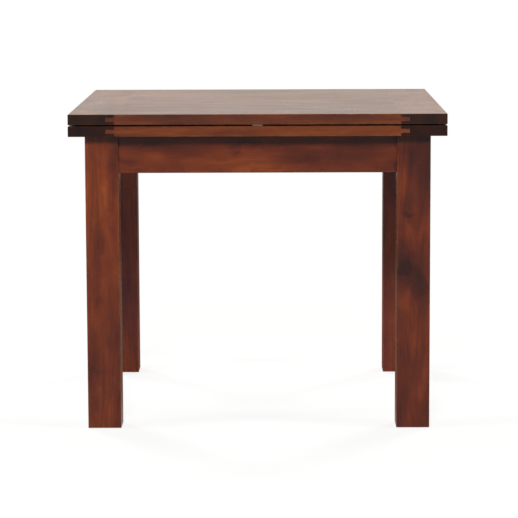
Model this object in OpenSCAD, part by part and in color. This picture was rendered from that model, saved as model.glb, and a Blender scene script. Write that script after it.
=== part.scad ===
// Butterfly extension table.
//
// Two equal leaves lie on each other like a closed book. The pair slides half its width to the
// left over the base, then the upper leaf folds over to the right and lies down on the bared
// half of the base, so the top doubles in width.
//
// Origin: on the floor below the middle of the closed table. +X right, +Y back, +Z up.
// The front, which is the side towards the viewer, faces -Y.

/* [Top] */
// Width of the closed top, left to right
top_w = 900; // [800:10:1000]
// Depth of the top, front to back
top_d = 900; // [800:10:1100]
// Height of the closed top above the floor
table_h = 765; // [740:1:780]
// Thickness of each leaf
leaf_t = 25; // [22:0.5:30]
// Gap between the two closed leaves
leaf_gap = 3; // [2.5:0.1:4]
// Seam between the leaves when they lie open, side by side
leaf_seam = 0.6; // [0.4:0.1:1.2]
// Radius of the rounded arrises of the leaves
leaf_arris = 1.5; // [1:0.1:3]
// Boards in each leaf's panel
board_n = 7; // [5:2:9]
// Glue line between neighbouring boards
glue_line = 0.1; // [0.05:0.05:0.2]

/* [Breadboard cleats] */
// Width of the cleat across each end of a leaf
cleat_w = 110; // [90:1:130]
// Thickness of the tongue on the boards' ends
tongue_t = 9.5; // [8:0.5:11]
// Length of the tongue
tongue_l = 21; // [16:1:26]
// Clearance between tongue and groove, each side
tongue_play = 0.1; // [0.05:0.05:0.3]
// Free depth behind the tongue's end and behind each tenon's end
end_room = 0.8; // [0.5:0.1:2]

/* [Legs] */
// Width of the square legs
leg_w = 80; // [70:1:90]
// Overhang of the top over the legs' outer faces at the sides
overhang_x = 37; // [30:1:50]
// Overhang of the top over the legs' outer faces at the front and back
overhang_y = 36; // [30:1:50]
// Radius of the rounded long edges of the legs
leg_arris = 3; // [1:0.5:6]
// Width of the flat that takes the hanger bolts, measured along each inner face
bolt_flat = 10; // [8:1:14]

/* [Aprons] */
// Height of the aprons
apron_h = 90; // [80:1:110]
// Thickness of the aprons
apron_t = 22; // [20:1:24]
// How far the aprons stand back from the legs' outer faces
apron_back = 12; // [8:1:16]
// Radius of the rounded lower edges of the aprons
apron_arris = 2; // [1:0.5:4]
// Thickness of the tenons
tenon_t = 10; // [8:1:12]
// Length of the tenons
tenon_l = 12; // [10:1:14]
// Shoulder above and below each tenon
tenon_shoulder = 10; // [6:1:14]
// Clearance between tenon and mortise, each side
tenon_play = 0.1; // [0.05:0.05:0.3]

/* [Felt, pads and glides] */
// Thickness of the felt on the aprons' top edges
felt_t = 1; // [0.8:0.1:2]
// Width of the felt strips
felt_w = 14; // [10:1:18]
// Length of the pads between the leaves
pad_l = 24; // [16:1:40]
// Width of the pads between the leaves
pad_w = 12; // [8:1:20]
// How far the pads stand back from the leaves' edges
pad_inset = 1; // [0.5:0.5:4]
// Diameter of the glides under the legs
glide_d = 30; // [20:1:40]
// Height of the glides
glide_h = 2; // [1.5:0.5:4]
// Length of each glide's nail
glide_nail_l = 16; // [12:1:24]
// Diameter of each glide's nail
glide_nail_d = 2.4; // [2:0.2:3]

/* [Slide] */
// Height of the guide rails
rail_h = 44; // [40:1:50]
// Thickness of the guide rails
rail_t = 28; // [24:1:32]
// Distance from the middle of the table to each rail's inner face
rail_y = 170; // [150:5:200]
// How deep the rails' ends are housed in the side aprons
rail_housing = 8; // [6:1:12]
// Clearance of the rails' ends in their housings, each side
housing_play = 0.1; // [0.05:0.05:0.3]
// Height of the groove in the rails
groove_h = 12; // [10:1:14]
// Depth of the groove in the rails
groove_d = 10; // [8:1:12]
// Wood above the groove
groove_cheek = 15; // [12:1:18]
// Clearance above and below the runner's tongue
slide_play = 0.3; // [0.2:0.05:0.6]
// Clearance between runner and rail, and at the bottom of the groove
slide_gap = 1; // [0.6:0.1:2]
// Thickness of the runners
runner_t = 26; // [22:1:30]
// Height of the runners
runner_h = 34; // [30:1:38]
// Length of the lead-in at each end of the runner's tongue
lead_in = 8; // [4:1:14]
// Thickness of the stop buffers
buffer_t = 8; // [5:1:12]
// Diameter of the stop buffers
buffer_d = 22; // [16:1:24]
// Air between a runner and its buffer at each end of the travel
buffer_gap = 1; // [0.5:0.1:2]

/* [Corner braces and bolts] */
// Height of the corner braces
brace_h = 60; // [50:1:70]
// Thickness of the corner braces
brace_t = 22; // [18:1:26]
// Gap between a brace and its leg, so that the nuts draw the leg in tight
draw_gap = 3; // [2:0.5:5]
// Diameter of the hanger bolts
bolt_d = 8; // [6:1:10]
// Length of the hanger bolts inside the leg
bolt_in_leg = 40; // [30:1:50]
// Length of bolt that stands out beyond its nut
bolt_end = 5; // [3:1:8]
// Distance between the two bolts of a leg
bolt_pitch = 30; // [24:1:36]
// Radial clearance of the bolts in the braces and washers
bolt_play = 0.5; // [0.3:0.1:1]
// Diameter of the washers
washer_d = 18; // [16:1:24]
// Thickness of the washers
washer_t = 1.6; // [1:0.1:2.5]
// Width of the nuts across their flats
nut_w = 13; // [10:1:17]
// Height of the nuts
nut_h = 6.5; // [5:0.5:8]

/* [Hinges] */
// Length of each hinge
hinge_l = 70; // [60:1:80]
// Distance of the outer hinges' middles from the top's front and back edges
hinge_inset = 120; // [90:5:160]
// Width of each plate, from the pin's axis to its outer edge
plate_w = 28; // [24:1:32]
// Thickness of the plates
plate_t = 1.8; // [1.5:0.1:2.2]
// Knuckles on each hinge: an odd number, one more on the lower plate than on the upper
knuckle_n = 5; // [3:2:7]
// End play between neighbouring knuckles
knuckle_play = 0.3; // [0.2:0.05:0.5]
// Diameter of the hinge pins
pin_d = 3; // [2.5:0.1:3.5]
// Radial clearance of the pins in the knuckles
pin_play = 0.06; // [0.03:0.01:0.1]
// Air round the hinges' barrels in the wood
barrel_play = 0.6; // [0.4:0.1:1]
// Distance of the outer hinge screws from the ends of their plate
hinge_screw_end = 11; // [9:0.5:14]
// Distance of the outer hinge screws from the pin's axis
hinge_screw_near = 13; // [11:0.5:15]
// Distance of the middle hinge screw from the pin's axis
hinge_screw_far = 20; // [17:0.5:20.5]

/* [Wood screws] */
// Shank diameter of the pan-head screws in runners and braces
screw_d = 4; // [3.5:0.1:5]
// Head diameter of the pan-head screws
head_d = 8; // [7:0.1:9]
// Head height of the pan-head screws
head_h = 2.6; // [2:0.1:3.2]
// Depth of wood below the heads of the runners' screws
runner_bite = 26; // [20:1:28]
// Depth of brace wood below the heads of the braces' screws
brace_bite = 10; // [8:1:12]
// How deep the screws reach into the piece that they hold to
screw_hold = 14; // [10:1:16]
// Diameter of the hinges' countersunk screws at the shank
hinge_screw_d = 3.2; // [2.8:0.1:3.5]
// Head diameter of the hinges' screws
hinge_head_d = 6.4; // [5.6:0.1:7]
// Length of the hinges' screws
hinge_screw_l = 16; // [12:1:18]
// Distance of the runners' outer screws from the runner's ends
runner_screw_end = 25; // [20:1:35]
// Distance between the two screws at each end of a brace
brace_screw_pitch = 30; // [24:1:36]
// Radial clearance of the pan heads in their counterbores
counterbore_play = 0.5; // [0.3:0.1:1]
// Clearance round every screw and bolt shank in its pilot hole
pilot_play = 0.05; // [0.03:0.01:0.1]

/* [Hidden] */
$fn = 64;
over = 1; // how far every cut runs past the surface it opens

mahogany = [0.43, 0.20, 0.13];
end_grain = [0.23, 0.13, 0.11];
beech = [0.74, 0.58, 0.40];
brass = [0.80, 0.63, 0.30];
steel = [0.68, 0.68, 0.70];
felt_green = [0.20, 0.24, 0.20];
pale_felt = [0.62, 0.60, 0.57];
black_rubber = [0.10, 0.10, 0.10];
nylon = [0.85, 0.84, 0.80];

// Heights of the top
upper_z = table_h - leaf_t;
hinge_z = upper_z - leaf_gap / 2;
lower_z = table_h - 2 * leaf_t - leaf_gap;
lower_top = lower_z + leaf_t;

// Plan of the base
leg_x = top_w / 2 - overhang_x;
leg_y = top_d / 2 - overhang_y;
base_top = lower_z - felt_t;
apron_z = base_top - apron_h;
apron_x = leg_x - apron_back;
apron_y = leg_y - apron_back;
inner_x = apron_x - apron_t;
inner_y = apron_y - apron_t;

// Slide: half the top's width brings the open leaves to the middle of the base
slide_travel = top_w / 2;
rail_z = base_top - rail_h;
groove_z = base_top - groove_cheek - groove_h;
stop_x = inner_x - buffer_t - buffer_gap;
runner_l = 2 * stop_x - slide_travel;
runner_x = stop_x - runner_l;
runner_z = lower_z - runner_h;
runner_y = rail_y - slide_gap;

// Corner braces, measured along the diagonal from the leg's inner corner
brace_z = apron_z + (apron_h - brace_h) / 2;
brace_out = draw_gap - bolt_flat / sqrt(2);
brace_in = brace_out + brace_t;

// Hinges
hinge_x = top_w / 2 + leaf_seam / 2;
knuckle_over = 0.2; // the barrel stands out this much below its plate
knuckle_r = leaf_gap / 2 + plate_t + knuckle_over;
hinge_n = 3;
barrel_room = knuckle_r + barrel_play;

// Middle of hinge i: 0 is the front one, 1 the middle one, 2 the back one
function hinge_y(i) = (i - 1) * (top_d / 2 - hinge_inset);

// Shapes that several pieces share

// Rectangle with round corners, its lower left corner at the origin
module rounded_rectangle(w, h, r) {
    translate([r, 0]) square([w - 2 * r, h]);
    translate([0, r]) square([w, h - 2 * r]);
    for (x = [r, w - r], y = [r, h - r]) translate([x, y]) circle(r);
}

// Repeats its children in all four corners, which are drawn for the back right one
module four_corners() {
    for (sx = [0, 1], sy = [0, 1]) in_corner(sx, sy) children();
}

// Places its children in one corner: sx 1 is left, sy 1 is front
module in_corner(sx, sy) {
    mirror([sx, 0, 0]) mirror([0, sy, 0]) children();
}

// Pan-head wood screw that points along -Z, the underside of its head at the origin
module pan_screw(length) {
    tip = screw_d;
    slot_w = head_d * 0.14;
    slot_l = head_d * 0.6;
    translate([0, 0, -length + tip]) cylinder(d = screw_d, h = length - tip + over / 2);
    translate([0, 0, -length]) cylinder(d1 = screw_d * 0.2, d2 = screw_d, h = tip);
    difference() {
        cylinder(d = head_d, h = head_h);
        for (a = [0, 90]) rotate([0, 0, a])
            translate([-slot_l / 2, -slot_w / 2, head_h * 0.45]) cube([slot_l, slot_w, head_h]);
    }
}

// Pilot hole for that screw in the wood
module pan_pilot(length) {
    depth = length + end_room;
    translate([0, 0, -depth]) cylinder(d = screw_d + 2 * pilot_play, h = depth + over);
}

// Counterbore above the seat of a pan head
module counterbore(depth) {
    cylinder(r = head_d / 2 + counterbore_play, h = depth);
}

// Leaves

// Whole leaf with rounded arrises: the crossing of two rounded profiles
module leaf_slab(z) {
    translate([0, 0, z]) intersection() {
        translate([-top_w / 2, -top_d / 2, 0]) rotate([90, 0, 90])
            linear_extrude(top_w) rounded_rectangle(top_d, leaf_t, leaf_arris);
        translate([-top_w / 2, top_d / 2, 0]) rotate([90, 0, 0])
            linear_extrude(top_d) rounded_rectangle(top_w, leaf_t, leaf_arris);
    }
}

// Boards of one leaf, side by side, each with a tongue on both ends
module leaf_boards(z) {
    board_w = (top_d - (board_n - 1) * glue_line) / board_n;
    shoulder = top_w / 2 - cleat_w;
    tongue_end = shoulder + tongue_l;
    for (i = [0 : board_n - 1]) intersection() {
        leaf_slab(z);
        translate([0, -top_d / 2 + i * (board_w + glue_line), z]) union() {
            translate([-shoulder, 0, 0]) cube([2 * shoulder, board_w, leaf_t]);
            translate([-tongue_end, 0, (leaf_t - tongue_t) / 2])
                cube([2 * tongue_end, board_w, tongue_t]);
        }
    }
}

// Cleat across the right end of a leaf, grooved for the tongues; side -1 puts it on the left
module leaf_cleat(z, side) {
    shoulder = top_w / 2 - cleat_w;
    groove_t = tongue_t + 2 * tongue_play;
    mirror([side < 0 ? 1 : 0, 0, 0]) difference() {
        intersection() {
            leaf_slab(z);
            translate([shoulder, -top_d / 2, z]) cube([cleat_w, top_d, leaf_t]);
        }
        translate([shoulder - over, -top_d / 2 - over, z + (leaf_t - groove_t) / 2])
            cube([tongue_l + end_room + over, top_d + 2 * over, groove_t]);
    }
}

// Hinges

// Turns what is drawn for a lower leaf into its mate on the upper leaf
module onto_upper() {
    translate([0, 0, 2 * hinge_z]) mirror([0, 0, 1]) children();
}

// Runs its children once at each screw of a hinge
module at_hinge_screws(i) {
    for (k = [-1, 0, 1])
        translate([
            hinge_x - (k == 0 ? hinge_screw_far : hinge_screw_near),
            hinge_y(i) + k * (hinge_l / 2 - hinge_screw_end),
            lower_top
        ]) children();
}

// Plate with the knuckles first, first + 2, first + 4 ... of a hinge, let into the lower leaf
module hinge_plate(i, first) {
    pitch = hinge_l / knuckle_n;
    knuckle_l = pitch - knuckle_play;
    difference() {
        translate([hinge_x, hinge_y(i) - hinge_l / 2, 0]) union() {
            translate([-plate_w, 0, lower_top - plate_t]) cube([plate_w - barrel_room, hinge_l, plate_t]);
            for (k = [first : 2 : knuckle_n - 1]) translate([0, k * pitch + knuckle_play / 2, 0]) {
                translate([-barrel_room - over, 0, lower_top - plate_t])
                    cube([barrel_room + over, knuckle_l, plate_t]);
                translate([0, 0, hinge_z]) rotate([-90, 0, 0]) cylinder(r = knuckle_r, h = knuckle_l);
            }
        }
        translate([hinge_x, hinge_y(i) - hinge_l / 2 - over, hinge_z]) rotate([-90, 0, 0])
            cylinder(d = pin_d + 2 * pin_play, h = hinge_l + 2 * over);
        at_hinge_screws(i) hinge_countersink();
    }
}

// Countersunk hole through a plate
module hinge_countersink() {
    sink = (hinge_head_d - hinge_screw_d) / 2;
    translate([0, 0, -sink])
        cylinder(d1 = hinge_screw_d + 2 * pilot_play, d2 = hinge_head_d + 2 * pilot_play, h = sink);
    translate([0, 0, -plate_t - over])
        cylinder(d = hinge_screw_d + 2 * pilot_play, h = plate_t + over);
    cylinder(d = hinge_head_d + 2 * pilot_play, h = over);
}

// Countersunk slotted screw, its head flush with the plate
module hinge_screw() {
    sink = (hinge_head_d - hinge_screw_d) / 2;
    tip = hinge_screw_d;
    slot_w = hinge_head_d * 0.14;
    difference() {
        union() {
            translate([0, 0, -sink]) cylinder(d1 = hinge_screw_d, d2 = hinge_head_d, h = sink);
            translate([0, 0, tip - hinge_screw_l])
                cylinder(d = hinge_screw_d, h = hinge_screw_l - tip - sink / 2);
            translate([0, 0, -hinge_screw_l])
                cylinder(d1 = hinge_screw_d * 0.2, d2 = hinge_screw_d, h = tip);
        }
        translate([-hinge_head_d, -slot_w / 2, -sink * 0.5]) cube([2 * hinge_head_d, slot_w, sink]);
    }
}

// Wood cut away for all the hinges of one leaf: plate beds, room for the barrels, pilot holes
module hinge_mortises() {
    for (i = [0 : hinge_n - 1]) {
        translate([hinge_x - plate_w, hinge_y(i) - hinge_l / 2, lower_top - plate_t])
            cube([plate_w + over, hinge_l, plate_t + over]);
        translate([hinge_x - barrel_room, hinge_y(i) - hinge_l / 2 - barrel_play, hinge_z - barrel_room])
            cube([barrel_room + over, hinge_l + 2 * barrel_play, barrel_room + over]);
        at_hinge_screws(i) translate([0, 0, -hinge_screw_l - end_room])
            cylinder(d = hinge_screw_d + 2 * pilot_play, h = hinge_screw_l + end_room);
    }
}

module lower_hinge_plate(i) { color(brass) hinge_plate(i, 0); }
module upper_hinge_plate(i) { color(brass) onto_upper() hinge_plate(i, 1); }

module lower_hinge_screws() {
    color(brass) for (i = [0 : hinge_n - 1]) at_hinge_screws(i) hinge_screw();
}

module upper_hinge_screws() {
    color(brass) onto_upper() for (i = [0 : hinge_n - 1]) at_hinge_screws(i) hinge_screw();
}

module hinge_pins() {
    color(steel) for (i = [0 : hinge_n - 1])
        translate([hinge_x, hinge_y(i) - hinge_l / 2, hinge_z]) rotate([-90, 0, 0])
            cylinder(d = pin_d, h = hinge_l);
}

// Lower leaf

module lower_boards() {
    color(mahogany) difference() {
        leaf_boards(lower_z);
        at_runner_screws() pan_pilot(runner_bite + screw_hold);
    }
}

module lower_cleat_left() { color(end_grain) leaf_cleat(lower_z, -1); }

module lower_cleat_right() {
    color(end_grain) difference() {
        leaf_cleat(lower_z, 1);
        hinge_mortises();
    }
}

// Runner drawn at the back: its tongue points to +Y and fills the rail's groove, with the same
// gap before the rail's face and at the bottom of the groove
module runner_solid() {
    tongue_h = groove_h - 2 * slide_play;
    tongue_reach = groove_d;
    difference() {
        union() {
            translate([runner_x, runner_y - runner_t, runner_z]) cube([runner_l, runner_t, runner_h]);
            translate([runner_x, runner_y - over, groove_z + slide_play]) linear_extrude(tongue_h)
                polygon([
                    [0, 0],
                    [runner_l, 0],
                    [runner_l, over],
                    [runner_l - lead_in, over + tongue_reach],
                    [lead_in, over + tongue_reach],
                    [0, over]
                ]);
        }
        at_runner_screws_back() {
            pan_pilot(runner_bite + screw_hold);
            counterbore(runner_h);
        }
    }
}

// Screws of the back runner point up into the leaf, their heads sunk in the runner
module at_runner_screws_back() {
    shoulder = top_w / 2 - cleat_w;
    first_x = runner_x + runner_screw_end;
    last_x = min(runner_x + runner_l, shoulder + runner_screw_end / 2) - runner_screw_end;
    for (k = [0 : 2]) translate([
        first_x + k * (last_x - first_x) / 2,
        runner_y - runner_t / 2,
        lower_z - runner_bite
    ]) mirror([0, 0, 1]) children();
}

module at_runner_screws() {
    for (sy = [0, 1]) mirror([0, sy, 0]) at_runner_screws_back() children();
}

module runner_front() { color(beech) mirror([0, 1, 0]) runner_solid(); }
module runner_back() { color(beech) runner_solid(); }
module runner_screws() { color(steel) at_runner_screws() pan_screw(runner_bite + screw_hold); }

module leaf_pads() {
    color(pale_felt) for (sy = [0, 1]) mirror([0, sy, 0])
        translate([-pad_l / 2, top_d / 2 - pad_inset - pad_w, lower_top]) cube([pad_l, pad_w, leaf_gap]);
}

// Upper leaf

module upper_boards() { color(mahogany) leaf_boards(upper_z); }
module upper_cleat_left() { color(end_grain) leaf_cleat(upper_z, -1); }

module upper_cleat_right() {
    color(end_grain) difference() {
        leaf_cleat(upper_z, 1);
        onto_upper() hinge_mortises();
    }
}

// Base

// Tenon of the front or back apron, or of a side apron with turned true, drawn for the back
// right corner; grow is the clearance that turns it into its mortise
module tenon(turned, grow) {
    length = tenon_l + (grow > 0 ? end_room : 0);
    height = apron_h - 2 * tenon_shoulder + 2 * grow;
    bottom = apron_z + tenon_shoulder - grow;
    start_x = leg_x - leg_w - over;
    start_y = leg_y - leg_w - over;
    if (turned)
        translate([apron_x - (apron_t + tenon_t) / 2 - grow, start_y, bottom])
            cube([tenon_t + 2 * grow, length + over, height]);
    else
        translate([start_x, apron_y - (apron_t + tenon_t) / 2 - grow, bottom])
            cube([length + over, tenon_t + 2 * grow, height]);
}

// Leg for the back right corner
module leg_solid() {
    corner_x = leg_x - leg_w;
    corner_y = leg_y - leg_w;
    difference() {
        translate([corner_x, corner_y, glide_h]) linear_extrude(base_top - glide_h)
            rounded_rectangle(leg_w, leg_w, leg_arris);
        tenon(false, tenon_play);
        tenon(true, tenon_play);
        // flat across the inner corner, open at the top
        translate([corner_x, corner_y, brace_z - draw_gap]) linear_extrude(apron_h)
            polygon([[-over, -over], [bolt_flat + over, -over], [-over, bolt_flat + over]]);
        at_bolts() translate([0, 0, -bolt_in_leg - end_room])
            cylinder(d = bolt_d + 2 * pilot_play, h = bolt_in_leg + end_room + leg_w / 2);
        translate([leg_x - leg_w / 2, leg_y - leg_w / 2, glide_h - over])
            cylinder(d = glide_nail_d + 2 * pilot_play, h = glide_nail_l + end_room + over);
    }
}

// Runs its children at both bolts of the back right corner, +Z pointing to the table's middle
// along the diagonal and the leg's flat in the plane z = 0
module at_bolts() {
    shift = bolt_flat / 2;
    for (s = [-1, 1])
        translate([
            leg_x - leg_w + shift,
            leg_y - leg_w + shift,
            brace_z + brace_h / 2 + s * bolt_pitch / 2
        ]) rotate([0, 0, 45]) rotate([0, -90, 0]) children();
}

// Front apron drawn at the back, and the side aprons drawn on the right
module long_apron() {
    shoulder_x = leg_x - leg_w;
    translate([-shoulder_x, inner_y, apron_z]) rotate([90, 0, 90]) linear_extrude(2 * shoulder_x)
        apron_profile();
    for (sx = [0, 1]) mirror([sx, 0, 0]) tenon(false, 0);
}

module side_apron() {
    shoulder_y = leg_y - leg_w;
    difference() {
        union() {
            translate([inner_x, shoulder_y, apron_z]) rotate([90, 0, 0]) linear_extrude(2 * shoulder_y)
                apron_profile();
            for (sy = [0, 1]) mirror([0, sy, 0]) tenon(true, 0);
        }
        for (sy = [0, 1]) mirror([0, sy, 0])
            translate([inner_x - over, rail_y - housing_play, rail_z - housing_play])
                cube([
                    rail_housing + housing_play + over,
                    rail_t + 2 * housing_play,
                    rail_h + housing_play + over
                ]);
        for (sy = [0, 1]) in_corner(0, sy) at_brace_screws_turned() pan_pilot(brace_bite + screw_hold);
    }
}

// Section of an apron: square at the top, rounded along the lower edges
module apron_profile() {
    translate([0, apron_arris]) square([apron_t, apron_h - apron_arris]);
    translate([apron_arris, 0]) square([apron_t - 2 * apron_arris, apron_h / 2]);
    for (x = [apron_arris, apron_t - apron_arris]) translate([x, apron_arris]) circle(apron_arris);
}

module front_or_back_apron() {
    difference() {
        long_apron();
        for (sx = [0, 1]) in_corner(sx, 0) at_brace_screws() pan_pilot(brace_bite + screw_hold);
    }
}

// Guide rail drawn at the back: the groove is cut along its inner face
module guide_rail() {
    rail_end = inner_x + rail_housing;
    difference() {
        translate([-rail_end, rail_y, rail_z]) cube([2 * rail_end, rail_t, rail_h]);
        translate([-rail_end - over, rail_y - over, groove_z])
            cube([2 * (rail_end + over), groove_d + over, groove_h]);
    }
}

// Plan distance, along each apron, from the leg's inner corner to where a plane at distance
// d before that corner meets an apron's inner face
function brace_reach(d, inset) = d * sqrt(2) + inset;

// Corner brace of the back right corner: both ends lie flat on the aprons
module corner_brace_solid() {
    cx = leg_x - leg_w;
    cy = leg_y - leg_w;
    in_x = inner_x - cx;
    in_y = inner_y - cy;
    difference() {
        translate([cx, cy, brace_z]) linear_extrude(brace_h) polygon([
            [in_x, -brace_reach(brace_out, in_x)],
            [-brace_reach(brace_out, in_y), in_y],
            [-brace_reach(brace_in, in_y), in_y],
            [in_x, -brace_reach(brace_in, in_x)]
        ]);
        at_bolts() cylinder(r = bolt_d / 2 + bolt_play, h = leg_w);
        at_brace_screws() {
            pan_pilot(brace_bite + screw_hold);
            counterbore(brace_t);
        }
        at_brace_screws_turned() {
            pan_pilot(brace_bite + screw_hold);
            counterbore(brace_t);
        }
    }
}

// Screws of the back right brace that go into the back apron
module at_brace_screws() {
    in_y = inner_y - (leg_y - leg_w);
    mid = brace_reach((brace_out + brace_in) / 2, in_y);
    for (s = [-1, 1]) translate([
        leg_x - leg_w - mid,
        inner_y - brace_bite,
        brace_z + brace_h / 2 + s * brace_screw_pitch / 2
    ]) rotate([90, 0, 0]) children();
}

// Screws of the back right brace that go into the right apron
module at_brace_screws_turned() {
    in_x = inner_x - (leg_x - leg_w);
    mid = brace_reach((brace_out + brace_in) / 2, in_x);
    for (s = [-1, 1]) translate([
        inner_x - brace_bite,
        leg_y - leg_w - mid,
        brace_z + brace_h / 2 + s * brace_screw_pitch / 2
    ]) rotate([0, -90, 0]) children();
}

module brace_screws() {
    color(steel) four_corners() {
        at_brace_screws() pan_screw(brace_bite + screw_hold);
        at_brace_screws_turned() pan_screw(brace_bite + screw_hold);
    }
}

// Distances along a bolt from the leg's flat
washer_at = brace_in - brace_out + draw_gap;
nut_at = washer_at + washer_t;

module hanger_bolts() {
    color(steel) four_corners() at_bolts() translate([0, 0, -bolt_in_leg])
        cylinder(d = bolt_d, h = bolt_in_leg + nut_at + nut_h + bolt_end);
}

module bolt_washers() {
    color(steel) four_corners() at_bolts() translate([0, 0, washer_at]) difference() {
        cylinder(d = washer_d, h = washer_t);
        translate([0, 0, -over]) cylinder(r = bolt_d / 2 + bolt_play, h = washer_t + 2 * over);
    }
}

module bolt_nuts() {
    color(steel) four_corners() at_bolts() translate([0, 0, nut_at]) difference() {
        cylinder(d = nut_w / cos(30), h = nut_h, $fn = 6);
        translate([0, 0, -over]) cylinder(d = bolt_d + 2 * pilot_play, h = nut_h + 2 * over);
    }
}

// Felt on the aprons' top edges, between the legs
module felt_along_x() {
    reach = leg_x - leg_w;
    translate([-reach, inner_y + (apron_t - felt_w) / 2, base_top]) cube([2 * reach, felt_w, felt_t]);
}

module felt_along_y() {
    reach = leg_y - leg_w;
    translate([inner_x + (apron_t - felt_w) / 2, -reach, base_top]) cube([felt_w, 2 * reach, felt_t]);
}

module stop_buffers() {
    color(black_rubber) four_corners()
        translate([inner_x, runner_y - runner_t / 2, lower_z - runner_h / 2]) rotate([0, -90, 0])
            cylinder(d = buffer_d, h = buffer_t);
}

module foot_glides() {
    color(nylon) four_corners() translate([leg_x - leg_w / 2, leg_y - leg_w / 2, 0]) {
        cylinder(d = glide_d, h = glide_h);
        cylinder(d = glide_nail_d, h = glide_h + glide_nail_l);
    }
}

module leg(sx, sy) { color(mahogany) in_corner(sx, sy) leg_solid(); }
module corner_brace(sx, sy) { color(beech) in_corner(sx, sy) corner_brace_solid(); }

leg(1, 1);  // leg_front_left
leg(0, 1);  // leg_front_right
leg(1, 0);  // leg_back_left
leg(0, 0);  // leg_back_right
color(mahogany) mirror([0, 1, 0]) front_or_back_apron();  // apron_front
color(mahogany) front_or_back_apron();  // apron_back
color(mahogany) mirror([1, 0, 0]) side_apron();  // apron_left
color(mahogany) side_apron();  // apron_right
color(beech) mirror([0, 1, 0]) guide_rail();  // guide_rail_front
color(beech) guide_rail();  // guide_rail_back
corner_brace(1, 1);  // corner_brace_front_left
corner_brace(0, 1);  // corner_brace_front_right
corner_brace(1, 0);  // corner_brace_back_left
corner_brace(0, 0);  // corner_brace_back_right
brace_screws();
hanger_bolts();
bolt_washers();
bolt_nuts();
color(felt_green) mirror([0, 1, 0]) felt_along_x();  // felt_front
color(felt_green) felt_along_x();  // felt_back
color(felt_green) mirror([1, 0, 0]) felt_along_y();  // felt_left
color(felt_green) felt_along_y();  // felt_right
stop_buffers();
foot_glides();
lower_boards();
lower_cleat_left();
lower_cleat_right();
runner_front();
runner_back();
runner_screws();
lower_hinge_plate(0);  // lower_hinge_plate_front
lower_hinge_plate(1);  // lower_hinge_plate_middle
lower_hinge_plate(2);  // lower_hinge_plate_back
lower_hinge_screws();
hinge_pins();
leaf_pads();
upper_boards();
upper_cleat_left();
upper_cleat_right();
upper_hinge_plate(0);  // upper_hinge_plate_front
upper_hinge_plate(1);  // upper_hinge_plate_middle
upper_hinge_plate(2);  // upper_hinge_plate_back
upper_hinge_screws();
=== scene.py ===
# %% [markdown]
# # A butterfly extension table
# This lesson dresses a packed table model, which holds every wooden piece, hinge plate and screw at
# its real size. Here they get their finishes, the soft and small pieces get their full shapes, and
# a plain studio is set up round the table.
# All lengths are in metres. +X is right, +Y is back, +Z is up, and the floor is z = 0.

# %% Load the model
import math

import bmesh
import bpy
from mathutils import Matrix, Vector


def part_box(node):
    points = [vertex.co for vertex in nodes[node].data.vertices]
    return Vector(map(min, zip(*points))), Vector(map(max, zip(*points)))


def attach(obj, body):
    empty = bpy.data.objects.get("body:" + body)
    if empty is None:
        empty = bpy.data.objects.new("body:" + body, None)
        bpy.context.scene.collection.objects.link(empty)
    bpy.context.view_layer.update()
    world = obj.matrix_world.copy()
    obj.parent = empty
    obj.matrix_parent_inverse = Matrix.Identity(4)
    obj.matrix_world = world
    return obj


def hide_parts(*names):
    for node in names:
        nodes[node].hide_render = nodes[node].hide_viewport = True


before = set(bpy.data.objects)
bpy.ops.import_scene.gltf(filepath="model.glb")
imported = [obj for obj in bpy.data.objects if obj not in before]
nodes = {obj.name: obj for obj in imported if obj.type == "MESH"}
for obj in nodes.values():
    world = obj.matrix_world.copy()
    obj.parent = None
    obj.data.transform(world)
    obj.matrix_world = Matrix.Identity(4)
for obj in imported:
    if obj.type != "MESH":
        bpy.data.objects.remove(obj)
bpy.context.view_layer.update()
print("pieces in the model:", len(nodes))

# %% [markdown]
# ## Helpers for finishes
# A finish is a network of nodes. Written out one by one, they hide the idea behind them. A small
# class links them instead, so that `g.add(a, b)` reads as what it does. g is the finish that is
# being made, and g.here is the place of the point whose colour is asked for.


# %% Formulas
class Formulas:
    """A new material, or world, whose nodes are written as formulas."""

    def __init__(self, name, kind=bpy.data.materials):
        self.datablock = kind.new(name)
        self.datablock.use_nodes = True
        self.tree = self.datablock.node_tree
        self.tree.nodes.clear()
        self.place = self.node("ShaderNodeTexCoord").outputs
        self.here = self.place["Object"]

    def node(self, kind, **settings):
        made = self.tree.nodes.new(kind)
        for key, value in settings.items():
            setattr(made, key, value)
        return made

    def feed(self, socket, value):
        """Links an input to another node's output, or sets it to a plain value."""
        if isinstance(value, bpy.types.NodeSocket):
            self.tree.links.new(value, socket)
        else:
            socket.default_value = value

    def math(self, operation, a, b=0.0):
        made = self.node("ShaderNodeMath", operation=operation)
        self.feed(made.inputs[0], a)
        self.feed(made.inputs[1], b)
        return made.outputs[0]

    def add(self, a, b):
        return self.math("ADD", a, b)

    def sub(self, a, b):
        return self.math("SUBTRACT", a, b)

    def mul(self, a, b):
        return self.math("MULTIPLY", a, b)

    def vector(self, operation, a, b=(0.0, 0.0, 0.0)):
        made = self.node("ShaderNodeVectorMath", operation=operation)
        self.feed(made.inputs[0], a)
        self.feed(made.inputs["Scale" if operation == "SCALE" else 1], b)
        return made.outputs["Value" if operation == "LENGTH" else "Vector"]

    def split(self, vector):
        made = self.node("ShaderNodeSeparateXYZ")
        self.feed(made.inputs[0], vector)
        return made.outputs

    def join(self, x, y, z):
        made = self.node("ShaderNodeCombineXYZ")
        for socket, value in zip(made.inputs, (x, y, z)):
            self.feed(socket, value)
        return made.outputs[0]


print("made:", Formulas.__doc__)

# %% [markdown]
# ### Patterns and surfaces
# All finishes are made of noise, soft steps, colour ramps, blends, fine relief and one shader.
# Pictures of wood would be quicker, but they end where a face ends. Formulas fill the whole piece.
# A noise is given by its scale, detail and roughness, and a relief by its height and strength.


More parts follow.
